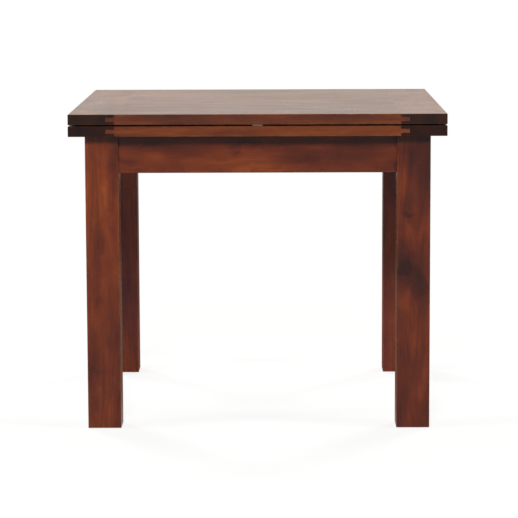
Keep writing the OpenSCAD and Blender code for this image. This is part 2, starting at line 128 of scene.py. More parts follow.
# %% Patterns
class Finish(Formulas):
    """Formulas with the patterns, colours and surface that a finish is made of."""

    def noise(self, where, scale, detail=2.0, rough=0.5, output="Fac"):
        made = self.node("ShaderNodeTexNoise")
        self.feed(made.inputs["Vector"], where)
        made.inputs["Scale"].default_value = scale
        made.inputs["Detail"].default_value = detail
        made.inputs["Roughness"].default_value = rough
        return made.outputs[output]

    def swirl(self, where, scale, detail, rough):
        """Noise of three parts, each round 0, that can push points about."""
        colour = self.noise(where, scale, detail, rough, "Color")
        return self.vector("SUBTRACT", colour, (0.5, 0.5, 0.5))

    def between(self, value, low, high, to_low=0.0, to_high=1.0):
        """Smooth step of value from low to high."""
        made = self.node("ShaderNodeMapRange", interpolation_type="SMOOTHSTEP")
        for socket, number in zip(made.inputs, (value, low, high, to_low, to_high)):
            self.feed(socket, number)
        return made.outputs[0]

    def ramp(self, value, stops):
        """Colour ramp through (place, colour) stops."""
        made = self.node("ShaderNodeValToRGB")
        band = made.color_ramp
        while len(band.elements) < len(stops):
            band.elements.new(0.5)
        for element, (place, colour) in zip(band.elements, stops):
            element.position = place
            element.color = (*colour, 1.0)
        self.feed(made.inputs[0], value)
        return made.outputs[0]

    def blend(self, share, a, b, how="MIX"):
        """Colour a where share is 0 and colour b where it is 1."""
        made = self.node("ShaderNodeMix", data_type="RGBA", blend_type=how)
        colours = [s for s in made.inputs if s.type == "RGBA"]
        self.feed(made.inputs[0], share)
        for socket, value in zip(colours, (a, b)):
            self.feed(socket, (*value, 1.0) if isinstance(value, tuple) else value)
        return [s for s in made.outputs if s.type == "RGBA"][0]

    def bump(self, height, distance, strength):
        made = self.node("ShaderNodeBump")
        made.inputs["Strength"].default_value = strength
        made.inputs["Distance"].default_value = distance
        self.feed(made.inputs["Height"], height)
        return made.outputs[0]

    def end(self, shader, kind="ShaderNodeOutputMaterial"):
        """Sends a shader to the output and returns the whole material or world."""
        self.feed(self.node(kind).inputs["Surface"], shader.outputs[0])
        return self.datablock

    def surface(self, colour, roughness, normal, **constants):
        """Principled shader at the end of the network; constants go on its own sockets."""
        shader = self.node("ShaderNodeBsdfPrincipled")
        self.feed(shader.inputs["Base Color"], colour)
        self.feed(shader.inputs["Roughness"], roughness)
        self.feed(shader.inputs["Normal"], normal)
        for name, value in constants.items():
            shader.inputs[name.replace("_", " ")].default_value = value
        return self.end(shader)


print("made:", Finish.__doc__)

# %% [markdown]
# ## Stain
# The real wood is pale and streaky under a mahogany stain. Each kind of figure could have its own
# colour, but one number is easier to steer: all figure is added up to a tone, and a ramp turns the
# tone into a colour, from 0 for the darkest streak to 1. The leaves came out browner than the legs.
# The back legs look cooler in the photograph, from the haze that their lacquer mirrors in the shade
# of the top, and this reflection is painted in: their dark streaks are lifted towards blue.

# %% Stain colours
MAHOGANY = [
    (0.00, (0.026, 0.0080, 0.0060)),
    (0.25, (0.056, 0.0120, 0.0065)),
    (0.45, (0.102, 0.0200, 0.0070)),
    (0.65, (0.165, 0.0350, 0.0085)),
    (0.85, (0.240, 0.0600, 0.0130)),
    (1.00, (0.320, 0.0950, 0.0240)),
]
# Unstained hardwood of the hidden rails, runners and braces
BARE_WOOD = [
    (0.00, (0.230, 0.120, 0.055)),
    (0.40, (0.400, 0.235, 0.115)),
    (0.75, (0.540, 0.350, 0.190)),
    (1.00, (0.640, 0.450, 0.270)),
]


def tinted(stops, scale, painted_haze=(0.0, 0.0, 0.0)):
    """The stain of one batch: scale makes it redder or browner, the last number paints a cool
    reflected haze into its dark streaks.
    """
    batch = []
    for place, colour in stops:
        share = 1.0 - 0.5 * place  # the lightest streaks are lifted half as much
        batch.append((place, tuple(c * k + up * share for c, k, up in zip(colour, scale, painted_haze))))
    return batch


LEG_STAIN = tinted(MAHOGANY, (1.0, 0.91, 1.0))
LEAF_STAIN = tinted(MAHOGANY, (1.0, 1.10, 1.0))
# painted reflection: a cool haze lifted into the dark streaks of the back legs
BACK_LEG_STAIN_AND_PAINTED_HAZE = tinted(MAHOGANY, (1.0, 0.91, 1.0), (0.003, 0.006, 0.015))
print("darkest and lightest streak of a leaf:", LEAF_STAIN[0][1], LEAF_STAIN[-1][1])

# %% [markdown]
# ## Wood as a solid
# Real boards are cut out of a log, so the pattern on a face is a cut through rings. A flat pattern
# on every face would break at the edges. Here every point gets a place in a log instead, along the
# grain, across it and into it. Each piece takes another part of the log, given by its seed, and so
# does each board of a panel, because two boards never match.

# %% Place in the log
ALONG = {"X": (0, 1, 2), "Y": (1, 0, 2), "Z": (2, 0, 1)}  # axis of the grain, then the other two
SEED_STEP = (0.37, 0.113, -0.071)  # metres in the log from one seed to the next
BOARD_JUMP = 3.0  # metres in the log by which boards of one panel may lie apart


def turned_by(g, vector, degrees):
    """The vector turned about the upright axis, for pieces that stand askew."""
    if not degrees:
        return vector
    made = g.node("ShaderNodeVectorRotate", rotation_type="Z_AXIS")
    g.feed(made.inputs["Vector"], vector)
    made.inputs["Angle"].default_value = math.radians(degrees)
    return made.outputs[0]


def place_in_piece(g, box, grain, askew):
    """Point measured from the middle of the piece: along the grain, across it and into it."""
    low, high = box
    away = g.vector("SUBTRACT", g.here, tuple((low + high) / 2))
    parts = g.split(turned_by(g, away, askew))
    return [parts[axis] for axis in ALONG[grain]]


def board_draw(g, box, boards, seed):
    """A random number, and three more, for the board of a panel that a point lies in."""
    pitch = (box[1][1] - box[0][1]) / boards
    depth = g.split(g.here)[1]
    number = g.math("FLOOR", g.mul(g.sub(depth, box[0][1]), 1 / pitch))
    draw = g.node("ShaderNodeTexWhiteNoise", noise_dimensions="1D")
    g.feed(draw.inputs["W"], g.add(number, 10.0 * seed))
    return draw.outputs["Value"], g.split(draw.outputs["Color"])


print("seeds lie", round(Vector(SEED_STEP).length, 3), "m apart in the log")

# %% [markdown]
# ### Rings, streaks, fibres and pores
# The rings are a wave of the distance to a pith line beside the piece, so they come out as long
# stripes on the sides and as arcs on the ends, with no seams between faces. All other figure is a
# noise in a space squeezed along the grain, which stretches it that way.

# %% Figure of the wood
RING = 0.0032  # spacing of the growth rings
PITH = (0.045, 0.120)  # where the pith line runs beside the piece
WANDER = 0.060  # how far the rings wander, so that they close into flames
WANDER_NOISE = (9.0, 2.0, 0.5)
LATE_POWER = 2.5  # makes the dark late wood narrower than the early wood

# Each kind of figure: squeeze along the grain, then its noise
PATCH = (0.32, 15.0, 3.0, 0.55)
STREAK = (0.11, 36.0, 2.5, 0.5)
FIBRE = (0.025, 620.0, 2.0, 0.6)
PORE = (0.10, 1500.0, 1.0, 0.4)
SPECKLE = (0.0, 1400.0, 1.0, 0.5)  # open pores of the end grain
CLOUD = (0.5, 16.0, 2.0, 0.5)  # uneven gloss of the lacquer
PORE_LEVELS = (0.60, 0.68)  # levels of the noise between which a pore opens


def figure(g, spot, kind):
    """Noise of one kind of figure at a spot in the log."""
    squeeze, *settings = kind
    return g.noise(g.join(g.mul(spot[0], squeeze), spot[1], spot[2]), *settings)


def late_wood(g, spot, shift):
    """The dark part of each growth ring, 0 to 1."""
    slim = g.join(g.mul(spot[0], STREAK[0]), spot[1], spot[2])
    wander = g.vector("MULTIPLY", g.swirl(slim, *WANDER_NOISE), (0.0, WANDER, WANDER))
    moved = g.split(g.vector("ADD", slim, wander))
    near_y = g.sub(moved[1], PITH[0] + shift[1])
    near_z = g.sub(moved[2], PITH[1] + shift[2])
    radius = g.vector("LENGTH", g.join(0.0, near_y, near_z))
    wave = g.add(g.mul(g.math("SINE", g.mul(radius, 2 * math.pi / RING)), 0.5), 0.5)
    return g.math("POWER", wave, LATE_POWER)


print("growth rings in a leg 80 mm wide:", round(0.080 / RING))

# %% [markdown]
# ### Uneven stain, and painted shade
# A stain never takes evenly. It drifts from one end of a piece to the other, and here and there it
# leaves a soft dark or light place. The front apron is darker at its upper edge and lighter at its
# lower one, which is painted shade under the top, and a few of the dark places are painted shade
# too. Noise would put those places anywhere, so the clearest ones are listed one by one and noise
# only stirs their outlines.

# %% Drift and marks of the stain
MARK_NOISE = (21.0, 3.0, 0.6)
MARK_STIR = 0.07  # metres by which the noise may move an outline
MARK_CORE = 0.15  # share of its reach over which a mark is at its full strength


def drifting_tone(g, box, grain, along, tone, painted_shade_rise):
    """Tone at a point: tone at both ends, and painted shade under the top, added at the lower edge
    and taken off at the upper one.
    """
    size = box[1] - box[0]
    share = g.add(g.mul(along, 1.0 / size[ALONG[grain][0]]), 0.5)
    value = g.add(g.mul(share, tone[1] - tone[0]), 0.5 + tone[0])
    # painted shade under the top: darker at the upper edge, lighter at the lower one
    if painted_shade_rise:
        height = g.split(g.here)[2]
        below = g.sub((box[1][2] + box[0][2]) / 2, height)
        value = g.add(value, g.mul(below, 2.0 * painted_shade_rise / size[2]))
    return value


def stain_and_shade_marks(g, marks):
    """Soft darker or lighter places of the stain, and of painted shade, each (middle, reach,
    amount) in metres.
    """
    stirred = g.vector("ADD", g.here, g.vector("SCALE", g.swirl(g.here, *MARK_NOISE), MARK_STIR))
    total = 0.0
    for middle, reach, amount in marks:
        away = g.vector("DIVIDE", g.vector("SUBTRACT", stirred, middle), reach)
        total = g.add(g.between(g.vector("LENGTH", away), MARK_CORE, 1.0, amount, 0.0), total)
    return total


print("outlines of marks move by up to", round(500 * MARK_STIR), "mm")

# %% [markdown]
# ### Tone and colour
# Broad boards show long streaks, and legs and aprons softer patches, so each has its own strengths
# of figure. Daylight has bleached the face that is always up. A second finish there would end in a
# hard line, so the fading follows the way the face looks.

# %% Tone and colour
# How strongly each kind of figure shows: patch, streak, fibre
PANEL_FIGURE = (0.75, 0.80, 0.30)
FRAME_FIGURE = (0.95, 0.45, 0.22)
LATE_MEAN = 0.35
RING_TONE = (0.35, 0.65, -0.03, -0.10)  # patches from dark to light, and late wood's tone in them
PORE_SHADE, PORE_SHARE = 0.35, 0.5  # as a share of the darkest streak, and how much of it shows
FADED = (0.205, 0.083, 0.032)  # colour of bleached stain
FADE_SHARE = (0.30, 0.75, 0.15, 0.32)  # patches from dark to light, and how much of it they show


def figured_tone(g, value, fields, late, amounts):
    """The tone with the patches, streaks, fibres and rings of the wood."""
    for field, amount in zip(fields, amounts):
        value = g.add(value, g.mul(g.sub(field, 0.5), amount))
    return g.add(value, g.mul(g.sub(late, LATE_MEAN), g.between(fields[0], *RING_TONE)))


def stained(g, value, stain, patch, pore, upward):
    """Colour of the stain at a tone, faded on an upper face and darker in the pores."""
    fade = g.mul(upward, g.between(patch, *FADE_SHARE))
    colour = g.blend(fade, g.ramp(value, stain), FADED)
    dark = tuple(PORE_SHADE * part for part in stain[0][1])
    return g.blend(g.mul(pore, PORE_SHARE), colour, dark)


print("figure of a panel and of a leg:", PANEL_FIGURE, FRAME_FIGURE)

# %% [markdown]
# ### End grain
# The ends of boards drink more stain than their sides, because all the cut pores are open there.
# A face that looks along the grain is an end, so one formula finds them all.

# %% End grain
DENSE_END = (0.16, 0.17, 0.20)  # all three multiply the colour of the side grain
OPEN_END = (0.26, 0.25, 0.27)
RINGED_END = (0.09, 0.09, 0.10)
SPECKLE_LEVELS = (0.45, 0.70, 0.0, 0.6)  # levels of the noise, and how open the grain is there


def end_grain(g, colour, ends, late, spot):
    """The colour made darker, speckled and ringed where the share of end grain is high."""
    shade = g.blend(g.between(figure(g, spot, SPECKLE), *SPECKLE_LEVELS), DENSE_END, OPEN_END)
    shade = g.blend(g.mul(late, 0.5), shade, RINGED_END)
    return g.blend(ends, colour, g.blend(1.0, colour, shade, "MULTIPLY"))


print("end grain keeps", DENSE_END[0], "to", OPEN_END[0], "of the red")

# %% [markdown]
# ### Worn edges, painted highlights and painted shade
# Hands and cloths rub stain off the edges first, and the lighter colour there is also a painted
# highlight of the rounded edges. At an edge a point is close to two faces at once, so the middle
# one of its three distances to the faces of its piece tells how far off the nearest edge is. At the
# gap between the closed leaves the edges are darkened: painted shade.

# %% Edges and seam
WORN_AND_HIGHLIT_REACH = 0.0035  # how far from an edge stain is rubbed off and a highlight is painted
WEAR_AND_HIGHLIGHT = (0.35, 0.08)  # how much of it, on side grain and on end grain
WEAR_AND_HIGHLIGHT_NOISE, WEAR_AND_HIGHLIGHT_LEVELS = (38.0, 3.0, 0.6), (0.42, 0.70)
SEAM = 0.7385  # height of the gap between the closed leaves
# colour of the painted shade at the seam, also used for the dark joint line round the hinge screw
# heads
GAP_SHADE_AND_JOINT_LINE = (0.014, 0.0085, 0.0065)
SEAM_REACH = (0.0025, 0.0055)  # how far up and down the painted shade goes
SEAM_SHADE_REACH = (0.0015, 0.0040, 0.35, 0.0)  # how far in from the edge, and its share there


def edge_distance(g, box):
    """Distance from a point on a box-like piece to its nearest edge."""
    low, high = box
    middle, half = (low + high) / 2, (high - low) / 2
    away = g.vector("SUBTRACT", g.here, tuple(middle))
    inward = g.vector("SUBTRACT", tuple(half), g.vector("ABSOLUTE", away))
    a, b, c = g.split(inward)
    lesser, greater = g.math("MINIMUM", a, b), g.math("MAXIMUM", a, b)
    return g.math("MAXIMUM", lesser, g.math("MINIMUM", greater, c))


def worn_and_highlit_edges(g, colour, ends, distance, lightest):
    """The colour with the stain rubbed off along the edges, here more and there less, which also
    paints a highlight.
    """
    spots = g.between(g.noise(g.here, *WEAR_AND_HIGHLIGHT_NOISE), *WEAR_AND_HIGHLIGHT_LEVELS)
    worn = g.mul(g.between(distance, 0.0, WORN_AND_HIGHLIT_REACH, 1.0, 0.0), spots)
    return g.blend(g.mul(worn, g.between(ends, 0.0, 1.0, *WEAR_AND_HIGHLIGHT)), colour, lightest)


def seam_shade(g, colour, distance):
    """The colour with painted shade: edges darkened at the gap between the closed leaves."""
    level = g.split(g.here)[2]
    near_seam = g.between(g.math("ABSOLUTE", g.sub(level, SEAM)), *SEAM_REACH, 1.0, 0.0)
    return g.blend(g.mul(g.between(distance, *SEAM_SHADE_REACH), near_seam), colour, GAP_SHADE_AND_JOINT_LINE)


print("height of the seam:", SEAM)

# %% [markdown]
# ### Lacquer
# A thin lacquer lies over the stain. It could be a clear coat, but it is thin enough to follow the
# fibres, so one layer with a fine relief does. Its gloss is cloudy, and it is rougher in pores, on
# end grain, where the top is rubbed and along the edges, which show no glints in the photograph.

# %% Lacquer
GLOSS_CLOUD = 0.14  # how much rougher or smoother the clouds make it
PORE_DULL = 0.12
TOP_DULL = 0.10
END_DULL = 0.25
EDGE_ROUGH = (0.0006, 0.0022, 0.32, 0.0)  # distances from the edge, and least roughness there
RELIEF, RELIEF_STRENGTH = 0.00014, 0.4
FIBRES_UP, LATE_UP, PORES_DOWN = 0.35, 0.15, 0.5  # as shares of the relief
SHINE, FADED_SHINE = 0.40, 0.49  # how strongly it mirrors


def lacquer_roughness(g, spot, gloss, pore, upward, ends, distance):
    rough = g.add(g.mul(g.sub(figure(g, spot, CLOUD), 0.5), GLOSS_CLOUD), gloss)
    rough = g.add(rough, g.add(g.mul(pore, PORE_DULL), g.mul(upward, TOP_DULL)))
    rough = g.add(rough, g.mul(ends, END_DULL))
    return g.math("MAXIMUM", rough, g.between(distance, *EDGE_ROUGH))


def lacquer_relief(g, fibre, late, pore):
    height = g.sub(g.add(g.mul(fibre, FIBRES_UP), g.mul(late, LATE_UP)), g.mul(pore, PORES_DOWN))
    return g.bump(height, RELIEF, RELIEF_STRENGTH)


print("relief of the lacquer:", round(1000 * RELIEF, 2), "mm")

# %% [markdown]
# ### The wood finish
# All of this is put together for one piece. Two pieces share only the formulas: their places in
# the log, their tones and their marks differ. The legs' inner faces are made lighter: painted
# light.

# %% The wood finish
BOARD_SPREAD = 0.20  # how much the tones of one panel's boards differ
LOOKS_UP = (0.85, 0.98)  # upward part of the normal from which a face counts as an upper one
LOOKS_ALONG = (0.30, 0.75)  # part along the grain from which it counts as an end
LOOKS_IN = (0.3, 0.8)  # part towards the middle of the table, for the legs
TOP_LIGHTER = 0.06
# painted light: how much lighter the legs' inner faces are made
INNER_PAINTED_LIGHT = 0.20


def wood(node, grain, seed, stain, gloss, tone=(0.0, 0.0), painted_shade_rise=0.0, marks=(), boards=0, askew=0,
         leaf=False, painted_light_side=0, faded=0.0):
    """Wood of one piece. gloss is its roughness, and tone is added at its start and end. Painted
    shade under the top is added at its lower edge and taken off at its upper one. A panel has
    several boards, a leaf has painted shade at its seam, painted light brightens the legs' faces
    that look the given way along X, and faded is the share of daylight that reached the upper face."""
    g = Finish("wood_" + node)
    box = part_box(node)
    parts = place_in_piece(g, box, grain, askew)
    value = drifting_tone(g, box, grain, parts[0], tone, painted_shade_rise)
    shift = [step * seed for step in SEED_STEP]
    spot = [g.add(part, step) for part, step in zip(parts, shift)]
    if boards:
        number, jump = board_draw(g, box, boards, seed)
        spot = [g.add(part, g.mul(step, BOARD_JUMP)) for part, step in zip(spot, jump)]
        value = g.add(value, g.mul(g.sub(number, 0.5), BOARD_SPREAD))

    late = late_wood(g, spot, shift)
    patch, streak, fibre = (figure(g, spot, kind) for kind in (PATCH, STREAK, FIBRE))
    pore = g.between(figure(g, spot, PORE), *PORE_LEVELS)
    amounts = PANEL_FIGURE if boards else FRAME_FIGURE
    value = figured_tone(g, value, (patch, streak, fibre), late, amounts)
    if marks:
        value = g.add(value, stain_and_shade_marks(g, marks))

    looks = g.split(turned_by(g, g.place["Normal"], askew))
    upward = g.between(looks[2], *LOOKS_UP, 0.0, faded)
    ends = g.between(g.math("ABSOLUTE", looks[ALONG[grain][0]]), *LOOKS_ALONG)
    value = g.add(value, g.mul(upward, TOP_LIGHTER))
    # painted light on the legs' faces that look towards the middle of the table
    if painted_light_side:
        value = g.add(value, g.between(g.mul(looks[0], painted_light_side), *LOOKS_IN, 0.0, INNER_PAINTED_LIGHT))

    distance = edge_distance(g, box)
    colour = stained(g, value, stain, patch, pore, upward)
    colour = end_grain(g, colour, ends, late, spot)
    # worn stain and a painted highlight along the edges
    colour = worn_and_highlit_edges(g, colour, ends, distance, stain[-1][1])
    # painted shade along the gap between the closed leaves
    if leaf:
        colour = seam_shade(g, colour, distance)
    roughness = lacquer_roughness(g, spot, gloss, pore, upward, ends, distance)
    normal = lacquer_relief(g, fibre, late, pore)
    shine = FADED_SHINE if faded else SHINE
    return g.surface(colour, roughness, normal, Specular_IOR_Level=shine)


print("upper faces lean by less than", round(math.degrees(math.acos(LOOKS_UP[0]))), "degrees")

# %% [markdown]
# ## Finishing the wooden pieces
# The tones follow the table as photographed: the left front leg is the warmest at its top and the
# right one is darker there. The front apron lightens towards its lower edge, which is painted shade
# under the top. One tone for all would look cast, not joined.

# %% Grain and tone of every stained piece
# Way of the grain, seed, and the tone added at the lower, left or front end and at the other one
WOODS = {
    "leg_front_left": ("Z", 3, (-0.05, 0.09)),
    "leg_front_right": ("Z", 8, (-0.08, -0.12)),
    "leg_back_left": ("Z", 12, (0.03, -0.12)),
    "leg_back_right": ("Z", 17, (0.02, -0.04)),
    "apron_front": ("X", 21, (-0.05, -0.09)),
    "apron_back": ("X", 24, (0.0, 0.0)),
    "apron_left": ("Y", 27, (0.0, 0.0)),
    "apron_right": ("Y", 31, (0.0, 0.0)),
    "lower_boards": ("X", 35, (-0.18, 0.16)),
    "lower_cleat_left": ("Y", 39, (-0.08, 0.0)),
    "lower_cleat_right": ("Y", 44, (-0.08, 0.0)),
    "upper_boards": ("X", 48, (-0.05, -0.07)),
    "upper_cleat_left": ("Y", 53, (-0.08, 0.0)),
    "upper_cleat_right": ("Y", 58, (0.05, 0.02)),
}
# painted shade under the top, as tone added at the lower edge and taken off at the upper one
PAINTED_SHADE_RISE = {"apron_front": 0.10}
print("stained pieces:", len(WOODS))

# %% [markdown]
# ### Marks of the stain, and painted shade
# The dark patch on the right front leg is the clearest mark on the table. The others are lighter
# cores and darker shoulders of the legs, the apron's clouds, its dark ends at the legs, which are
# painted shade in the recess beside them, and the darker tone that the top takes on towards the
# back.


# %% Marks
MARKS = {}


def mark_front(node, deep, marks):
    """Puts marks on the front of a piece, each (x, z, reach in x, reach in z, amount)."""
    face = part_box(node)[0][1]
    found = MARKS.setdefault(node, [])
    found += [((x, face, z), (wide, deep, tall), amount) for x, z, wide, tall, amount in marks]


mark_front("leg_front_right", 0.10, [
    (0.358, 0.395, 0.038, 0.040, -0.32),
    (0.386, 0.360, 0.036, 0.045, -0.26),
    (0.366, 0.524, 0.026, 0.009, -0.20),
    (0.350, 0.480, 0.026, 0.065, 0.16),
    (0.352, 0.310, 0.030, 0.045, 0.16),
    (0.395, 0.085, 0.030, 0.045, 0.13),
    (0.360, 0.180, 0.040, 0.060, -0.06),
    (0.400, 0.640, 0.040, 0.110, -0.10),
    (0.350, 0.670, 0.028, 0.070, -0.15),
])
mark_front("leg_front_left", 0.10, [
    (-0.358, 0.560, 0.018, 0.150, 0.10),
    (-0.350, 0.420, 0.016, 0.080, 0.04),
    (-0.395, 0.400, 0.038, 0.150, -0.12),
    (-0.370, 0.270, 0.050, 0.080, 0.09),
    (-0.405, 0.080, 0.030, 0.090, 0.14),
    (-0.345, 0.070, 0.030, 0.080, -0.12),
    (-0.356, 0.670, 0.026, 0.040, 0.14),
    (-0.375, 0.175, 0.050, 0.050, 0.09),
])
mark_front("apron_front", 0.10, [
    (0.205, 0.665, 0.110, 0.030, 0.02),
    (-0.120, 0.640, 0.160, 0.022, 0.07),
    (0.012, 0.683, 0.080, 0.018, -0.12),
    (-0.260, 0.690, 0.080, 0.014, -0.12),
    (-0.254, 0.650, 0.060, 0.022, 0.12),
    (-0.056, 0.655, 0.060, 0.016, 0.05),
    (-0.036, 0.688, 0.050, 0.036, -0.18),
    (0.160, 0.688, 0.130, 0.044, 0.18),
    (-0.300, 0.630, 0.070, 0.018, 0.15),
    (0.020, 0.634, 0.150, 0.012, 0.10),
    # painted shade: the apron's dark ends in the recess beside the legs
    (-0.334, 0.660, 0.012, 0.120, -0.30),
    (0.334, 0.660, 0.014, 0.120, -0.30),
])
mark_front("lower_boards", 0.05, [
    (-0.15, 0.725, 0.12, 0.04, 0.09),
    (0.05, 0.725, 0.14, 0.04, 0.01),
])
mark_front("upper_boards", 0.06, [
    (-0.362, 0.752, 0.022, 0.02, -0.16),
    (0.362, 0.752, 0.022, 0.02, -0.30),
])
mark_front("upper_boards", 0.05, [
    (0.25, 0.752, 0.15, 0.04, -0.09),
])
MARKS["upper_boards"] += [
    ((0.0, 0.45, 0.765), (0.80, 0.34, 0.10), -0.14),
    ((-0.28, -0.18, 0.765), (0.10, 0.05, 0.05), -0.08),
]
print("stain marks:", sum(len(marks) for marks in MARKS.values()))

# %% [markdown]
# ### Painting the pieces
# Names such as `leg_front_left` tell what a piece needs: a panel its boards, a leaf painted shade
# at its seam, the upper leaf its fading, a leg painted light on its inner face. The back legs are
# duller than the rest and carry a painted cool haze, and the wood that nobody sees when the table
# is closed was left bare.

# %% Stained and bare pieces
PANEL_BOARDS = 7
GLOSS, BACK_LEG_GLOSS, BARE_GLOSS = 0.20, 0.42, 0.58  # roughness
INWARD = {"left": 1, "right": -1}  # which way the inner face of a leg looks

# Seed, and how far a brace is turned, in degrees
BARE_WOODS = {
    "guide_rail_front": (61, 0),
    "guide_rail_back": (64, 0),
    "runner_front": (68, 0),
    "runner_back": (71, 0),
    "corner_brace_front_left": (74, 45),
    "corner_brace_front_right": (79, -45),
    "corner_brace_back_left": (83, -45),
    "corner_brace_back_right": (86, 45),
}


def paint(node, material):
    """Gives a model piece its finish, in every slot that it has."""
    for slot in nodes[node].material_slots:
        slot.material = material


for node, (grain, seed, tone) in WOODS.items():
    panel, upper = node.endswith("boards"), node.startswith("upper")
    stain, gloss = LEAF_STAIN if panel or upper else LEG_STAIN, GLOSS
    if node.startswith("leg_back"):
        # the back legs get a duller lacquer and a stain with a painted cool haze
        stain, gloss = BACK_LEG_STAIN_AND_PAINTED_HAZE, BACK_LEG_GLOSS
    paint(node, wood(node, grain, seed, stain, gloss, tone, PAINTED_SHADE_RISE.get(node, 0.0),
                     MARKS.get(node, ()), boards=PANEL_BOARDS if panel else 0,
                     faded=1.0 if upper else 0.0, leaf=node.startswith(("lower", "upper")),
                     painted_light_side=INWARD[node.split("_")[-1]] if node.startswith("leg") else 0))
for node, (seed, askew) in BARE_WOODS.items():
    paint(node, wood(node, "X", seed, BARE_WOOD, BARE_GLOSS, askew=askew))
print("wooden pieces:", len(WOODS) + len(BARE_WOODS))

# %% [markdown]
# ## Metal
# The hinges are brass, brushed along the plates, with a little tarnish. The other screws, bolts and
# washers are zinc-plated steel, nearly smooth but cloudy. One formula makes both. The fine dark
# line round a screw head is drawn, not cut, because the model's pieces stay as they are.

# %% Heads of the hinge screws
HINGE_X, HINGE_PITCH = 0.4503, 0.330  # the hinges' axis, and their distance apart
MIDDLE_SCREW, OUTER_SCREW = (0.020, 0.0), (0.013, 0.024)  # in from the axis, and to either side
HEAD_R = 0.0032
RIM = (0.00010, 0.00045, 0.85, 0.0)  # distances from the rim of a head, and how dark it is there


def head_rings(g):
    """Dark line round the heads of the hinge screws, the same at all three hinges."""
    parts = g.split(g.here)
    x = g.sub(HINGE_X, parts[0])
    hinge = g.math("ROUND", g.mul(parts[1], 1 / HINGE_PITCH))
    y = g.math("ABSOLUTE", g.sub(parts[1], g.mul(hinge, HINGE_PITCH)))
    middle, outer = (g.vector("LENGTH", g.join(g.sub(x, screw[0]), g.sub(y, screw[1]), 0.0))
                     for screw in (MIDDLE_SCREW, OUTER_SCREW))
    rim = g.math("ABSOLUTE", g.sub(g.math("MINIMUM", middle, outer), HEAD_R))
    return g.between(rim, *RIM)


print("heads of the hinge screws:", round(2000 * HEAD_R, 1), "mm wide")


# %% Brass and steel
METAL_CLOUD, CLOUD_LEVELS = (55.0, 3.0, 0.6), (0.35, 0.70)
METAL_SPOTS, SPOT_LEVELS = (260.0, 2.0, 0.5), (0.58, 0.72)
METAL_LINES = (900.0, 2.0, 0.6)
SPOT_SHARE, SPOT_SHADE = 0.35, 0.55  # how much of a spot shows, as a share of the darker colour
CLOUD_DULL, LINE_DULL = 0.18, 0.10
SPOT_DEPTH = 0.4  # as a share of the lines' height
METAL_RELIEF = (0.0001, 0.35)


def metal(name, light, dark, low_rough, brushed, ringed=False):
    """Metal between two colours; brushed squeezes its lines along x, y and z."""
    g = Finish(name)
    cloud = g.noise(g.here, *METAL_CLOUD)
    lines = g.noise(g.vector("MULTIPLY", g.here, brushed), *METAL_LINES)
    spots = g.between(g.noise(g.here, *METAL_SPOTS), *SPOT_LEVELS)
    colour = g.blend(g.between(cloud, *CLOUD_LEVELS), light, dark)
    colour = g.blend(g.mul(spots, SPOT_SHARE), colour, tuple(SPOT_SHADE * c for c in dark))
    if ringed:
        colour = g.blend(head_rings(g), colour, GAP_SHADE_AND_JOINT_LINE)
    roughness = g.add(g.add(g.mul(cloud, CLOUD_DULL), low_rough), g.mul(lines, LINE_DULL))
    normal = g.bump(g.add(lines, g.mul(spots, -SPOT_DEPTH)), *METAL_RELIEF)
    return g.surface(colour, roughness, normal, Metallic=1.0)


brass = metal("hinge_brass", (0.50, 0.330, 0.135), (0.29, 0.180, 0.068), 0.32,
              brushed=(1.0, 0.04, 1.0), ringed=True)
screw_brass = metal("screw_brass", (0.57, 0.380, 0.165), (0.33, 0.210, 0.085), 0.28,
                    brushed=(1.0, 1.0, 1.0), ringed=True)
steel = metal("plated_steel", (0.66, 0.65, 0.62), (0.42, 0.42, 0.42), 0.26, brushed=(1.0, 1.0, 0.2))
METALS = {"hinge_plate": brass, "hinge_screws": screw_brass, "hinge_pins": steel,
          "brace_screws": steel, "runner_screws": steel}
metal_pieces = [(node, kind) for node in nodes for part, kind in METALS.items() if part in node]
for node, finish in metal_pieces:
    paint(node, finish)
print("metal pieces of the model:", len(metal_pieces))

# %% [markdown]
# ## Felt
# Felt lies on the aprons and between the leaves. It is a mat of short fibres with no weave. Hairs
# one by one would be far too many, so fine noise stands in for them: tufts, the hair between them,
# and places that are worn flat. A soft sheen brightens it at grazing angles.


# %% Felt
TUFT, TUFT_SHARE = (420.0, 3.0, 0.7), 0.6
HAIR, HAIR_SHARE = (1900.0, 2.0, 0.5), 0.3
TANGLE, TANGLE_REACH = (300.0, 1.0, 0.5), 0.004  # pushes the hair about by up to 4 mm
FLAT, FLAT_LEVELS = (24.0, 3.0, 0.6), (0.35, 0.70)
FLAT_SHARE, FLAT_SHADE = 0.3, 0.75
FELT_ROUGH, TUFT_DULL = 0.86, 0.10
FELT_RELIEF = (0.0006, 0.9)


def felt_finish(name, light, dark, sheen):
    g = Finish(name)
    tuft = g.noise(g.here, *TUFT)
    tangle = g.vector("SCALE", g.noise(g.here, *TANGLE, "Color"), TANGLE_REACH)
    hair = g.noise(g.vector("ADD", g.here, tangle), *HAIR)
    worn = g.between(g.noise(g.here, *FLAT), *FLAT_LEVELS)
    colour = g.blend(g.add(g.mul(tuft, TUFT_SHARE), g.mul(hair, HAIR_SHARE)), dark, light)
    colour = g.blend(g.mul(worn, FLAT_SHARE), colour, tuple(FLAT_SHADE * c for c in dark))
    roughness = g.add(g.mul(tuft, TUFT_DULL), FELT_ROUGH)
    normal = g.bump(g.add(tuft, g.mul(hair, 0.5)), *FELT_RELIEF)
    return g.surface(colour, roughness, normal, Sheen_Weight=sheen, Sheen_Roughness=0.6,
                     Specular_IOR_Level=0.2)


strip_felt = felt_finish("strip_felt", (0.060, 0.070, 0.060), (0.022, 0.028, 0.024), 0.35)
pad_felt = felt_finish("pad_felt", (0.175, 0.166, 0.160), (0.080, 0.075, 0.072), 0.12)
print("felts:", strip_felt.name, pad_felt.name)

